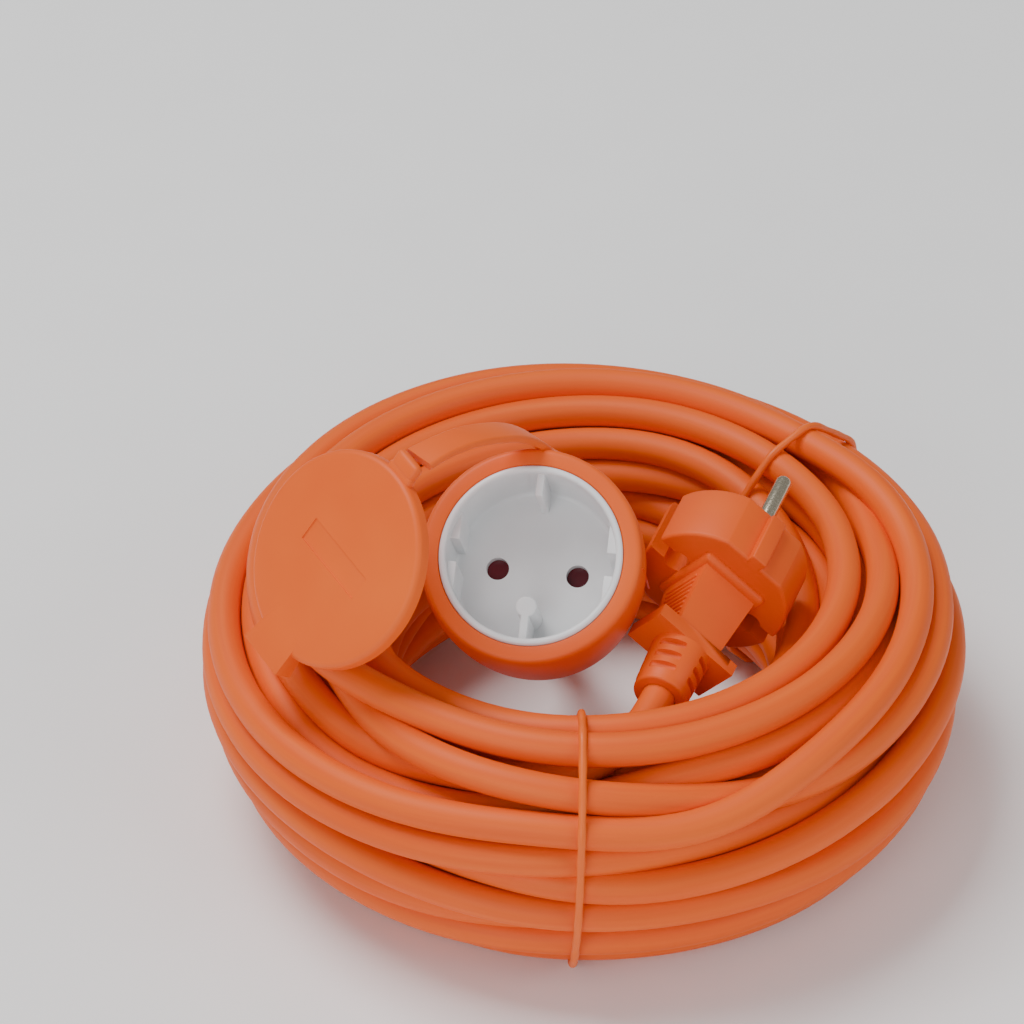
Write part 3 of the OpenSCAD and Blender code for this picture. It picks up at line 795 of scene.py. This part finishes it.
def neck_at(z):
    """Half width and half depth of the neck at a height."""
    share = (z + 16.2) / (-35 + 16.2)
    return 8.5 + (5.8 - 8.5) * share, 7.8 + (6.3 - 7.8) * share

neck = block((2 * neck_at(-15)[0], 2 * neck_at(-15)[1], 20.5), (0, 0, -25.25), 0.01)
edit(neck, lambda v: v.co.z < -30 * MM, "VERT")
bpy.ops.transform.resize(value=(neck_at(-35)[0] / neck_at(-15)[0], neck_at(-35)[1] / neck_at(-15)[1], 1))
done()
change(neck, "BEVEL", width=1.9 * MM, segments=5, limit_method="ANGLE", angle_limit=math.radians(50))
root = block((20.5, 18.4, 3.0), (0, 0, -16.3), 1.3)
combine(neck, root, "UNION")
combine(plug, neck, "UNION")
ribs = []
for s in (-1, 1):
    for z in np.arange(-20.5, -32.5, -1.6):
        half_w, half_y = neck_at(z)
        ribs.append(block((2 * half_w - 3.6, 0.9, 0.8), (0, s * (half_y + 0.05), z), 0.3))
combine(plug, joined(ribs), "UNION")

# %% Flange, cavity and bore
flange = block((13, 23, 3.6), (0, 0, -36.2), 0.05)
edit(flange, lambda e: abs(e.verts[0].co.z - e.verts[1].co.z) > 3 * MM, "EDGE")
bpy.ops.mesh.bevel(offset=2.4 * MM, segments=6, affect="EDGES")
done()
change(flange, "BEVEL", width=0.7 * MM, segments=3, limit_method="ANGLE", angle_limit=math.radians(60))
combine(plug, flange, "UNION")
combine(plug, block((27.6, 8.6, 11.5), (0, 0, -8.75), 0.3), "DIFFERENCE")
for s in (-1, 1):
    combine(plug, rod(3.2, -5, 2, (s * POLE_X, 0), 48), "DIFFERENCE")
combine(plug, rod(4.15, -26, -13, sides=48), "DIFFERENCE")
combine(plug, rod(4.06, -40, -24, sides=48), "DIFFERENCE")
settle(plug, ON_PLUG, "cord_set", "moulded_orange", shell_pvc, "plug_body", smooth=30)

plug_sleeve = bend_sleeve("plug_bend_sleeve", -38.0, 14.0, 7.25, 6.45, 3, 3.6, 1.9, 6.4, 45)
settle(plug_sleeve, ON_PLUG, "cord_set", "moulded_orange", shell_pvc, "plug_sleeve")

# %% [markdown]
# ## Pins and collars
#
# The pins are turned from brass and nickelled. Each has a slightly thinner neck, a straight part and a
# domed end, so its outline is turned round its axis. A dark collar fills the hole round each neck.

# %% Pins
for side_name, x in (("left", -POLE_X), ("right", POLE_X)):
    profile = [(0, -8.8), (1.7, -8.8), (1.9, -8.6), (1.9, 0.8), (2.0, 1.05), (2.0, 17.0)]
    profile += arc((0, 17.0), 2.0, 6, 90, 10)
    pin = lathe("metal_pin_" + side_name, profile, 64)
    at_pole = ON_PLUG @ Matrix.Translation((x * MM, 0, 0))
    settle(pin, at_pole, "cord_set", "pin_metal", pin_metal, "pin_" + side_name)

collars = []
for x in (-POLE_X, POLE_X):
    profile = [(1.93, -3.0), (3.15, -3.0), (3.15, -0.7), (2.95, -0.45), (2.1, -0.45)]
    profile += [(1.93, -0.6), (1.93, -3.0)]
    collar = lathe("pin_collar", profile, 64)
    collar.data.transform(Matrix.Translation((x * MM, 0, 0)))
    collars.append(collar)
collars = joined(collars)
collars.name = "dark_collars"
collars.data.name = "dark_collars"
settle(collars, ON_PLUG, "cord_set", "dark_collar", collar_plastic, "pin_collars")

# %% [markdown]
# ## Ties
#
# Two loops of plastic string hold the turns. A string under tension takes the shortest way round, which
# is the convex outline of all the turns that it holds. So each loop is worked out from the wound cord: at
# every direction round the section, the turn that lies furthest out carries it.

# %% String loops
STRING_R = 0.95 * MM

def string_round(angle, bow, name):
    """A closed loop of string round the bundle at an angle, with a slight bow to one side."""
    nearest = np.abs((angles - angle + math.pi) % (2 * math.pi) - math.pi) < math.radians(TURN_DEGREES)
    held = section[nearest]
    loop = []
    for a in np.radians(np.arange(0, 360, 4)):
        way = np.array([math.cos(a), math.sin(a)])
        furthest = held[np.argmax(held @ way)]
        loop.append(furthest + (CORD_D / 2 + STRING_R) * way)
    loop = np.array(loop + loop[:1])
    flat = every(np.column_stack([loop, np.zeros(len(loop))]), 1.2 * MM)[:-1]
    count = len(flat)
    flat = soften(np.concatenate([flat] * 3), 1.2)[count:2 * count]
    height = np.maximum(flat[:, 1] + COIL_MID_Z, STRING_R + 0.05 * MM)
    sway = bow * np.sin(np.linspace(0, 2 * math.pi, count, endpoint=False) + 0.6)
    out = np.array([math.cos(angle), math.sin(angle), 0])
    aside = np.array([-math.sin(angle), math.cos(angle), 0])
    line = (COIL_R + flat[:, :1]) * out + sway[:, None] * aside
    line[:, 2] = height
    swell = 1 + 0.07 * np.sin(np.linspace(0, 2 * math.pi * 23, count, endpoint=False))
    return skin(name, line, round_section(STRING_R, 10), sizes=swell[:, None], closed=True)

for name, angle, bow, node in (("string_front", TIES[0], 1.5 * MM, "tie_front"),
                               ("string_back", TIES[1], -1.2 * MM, "tie_back")):
    string = string_round(angle, bow, name)
    settle(string, Matrix(), "cord_set", "tie_string", string_pvc, node, smooth=60)

# %% [markdown]
# ## Inner pieces
#
# The shutter, its spring, the contacts, the crimps and the wire ends keep their CAD meshes, because their
# shapes are already the real ones. They only get their materials.

# %% Finishes of the inner pieces
inner = {
    "shutter": shutter_plastic, "shutter_spring": spring_metal, "contact_carrier": white_nylon,
    "contact_clip_left": contact_brass, "contact_clip_right": contact_brass,
    "socket_crimps": spring_metal, "plug_crimps": spring_metal, "plug_bridge": collar_plastic,
    "socket_core_brown": brown_core, "socket_core_blue": blue_core,
    "plug_core_brown": brown_core, "plug_core_blue": blue_core}
for node_name, finish in inner.items():
    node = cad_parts[node_name]
    if node.material_slots:
        node.material_slots[0].material = finish
    else:
        node.data.materials.append(finish)
print(len(inner), "inner pieces finished")

# %% [markdown]
# ## Floor and light
#
# The floor is a wide pale sheet. One large soft lamp high on the left gives the long highlights on the
# turns, a weaker one stands low in front and a third fills from the right. A dim white world lights the
# rest, so shadows stay soft.

# %% Floor
bpy.ops.object.select_all(action="DESELECT")
bpy.ops.mesh.primitive_plane_add(size=8, location=(0, 0, 0))
floor = bpy.context.object
floor.name = "floor"
paper, tree, body = new_finish("pale_paper_floor", Roughness=0.9)
spot = add(tree, "ShaderNodeTexCoord")
fibres = add(tree, "ShaderNodeTexNoise", {"Scale": 30.0}, {"Vector": (spot, "Object")})
pale = ramp(tree, fibres, "Fac", [(0.2, colour("#FAFAFA")), (0.8, colour("#FDFDFD"))])
tree.links.new(pale.outputs["Color"], body.inputs["Base Color"])
floor.data.materials.append(paper)

# %% Light
def soft_lamp(at, size, power):
    """A square area lamp that faces the coil."""
    bpy.ops.object.light_add(type="AREA", location=at)
    lamp = bpy.context.object
    lamp.data.size = size
    lamp.data.energy = power
    lamp.rotation_euler = (Vector((0, 0, 0.05)) - Vector(at)).to_track_quat("-Z", "Y").to_euler()
    return lamp

soft_lamp((-0.55, 0.25, 1.45), 0.8, 19)
soft_lamp((-0.5, -1.4, 0.75), 0.9, 9)
soft_lamp((1.1, -0.7, 0.8), 0.9, 5)
world = bpy.context.scene.world or bpy.data.worlds.new("studio")
bpy.context.scene.world = world
world.use_nodes = True
sky = world.node_tree.nodes["Background"]
sky.inputs["Color"].default_value = colour("#FFFFFF")
sky.inputs["Strength"].default_value = 0.3
print("lamps ready")
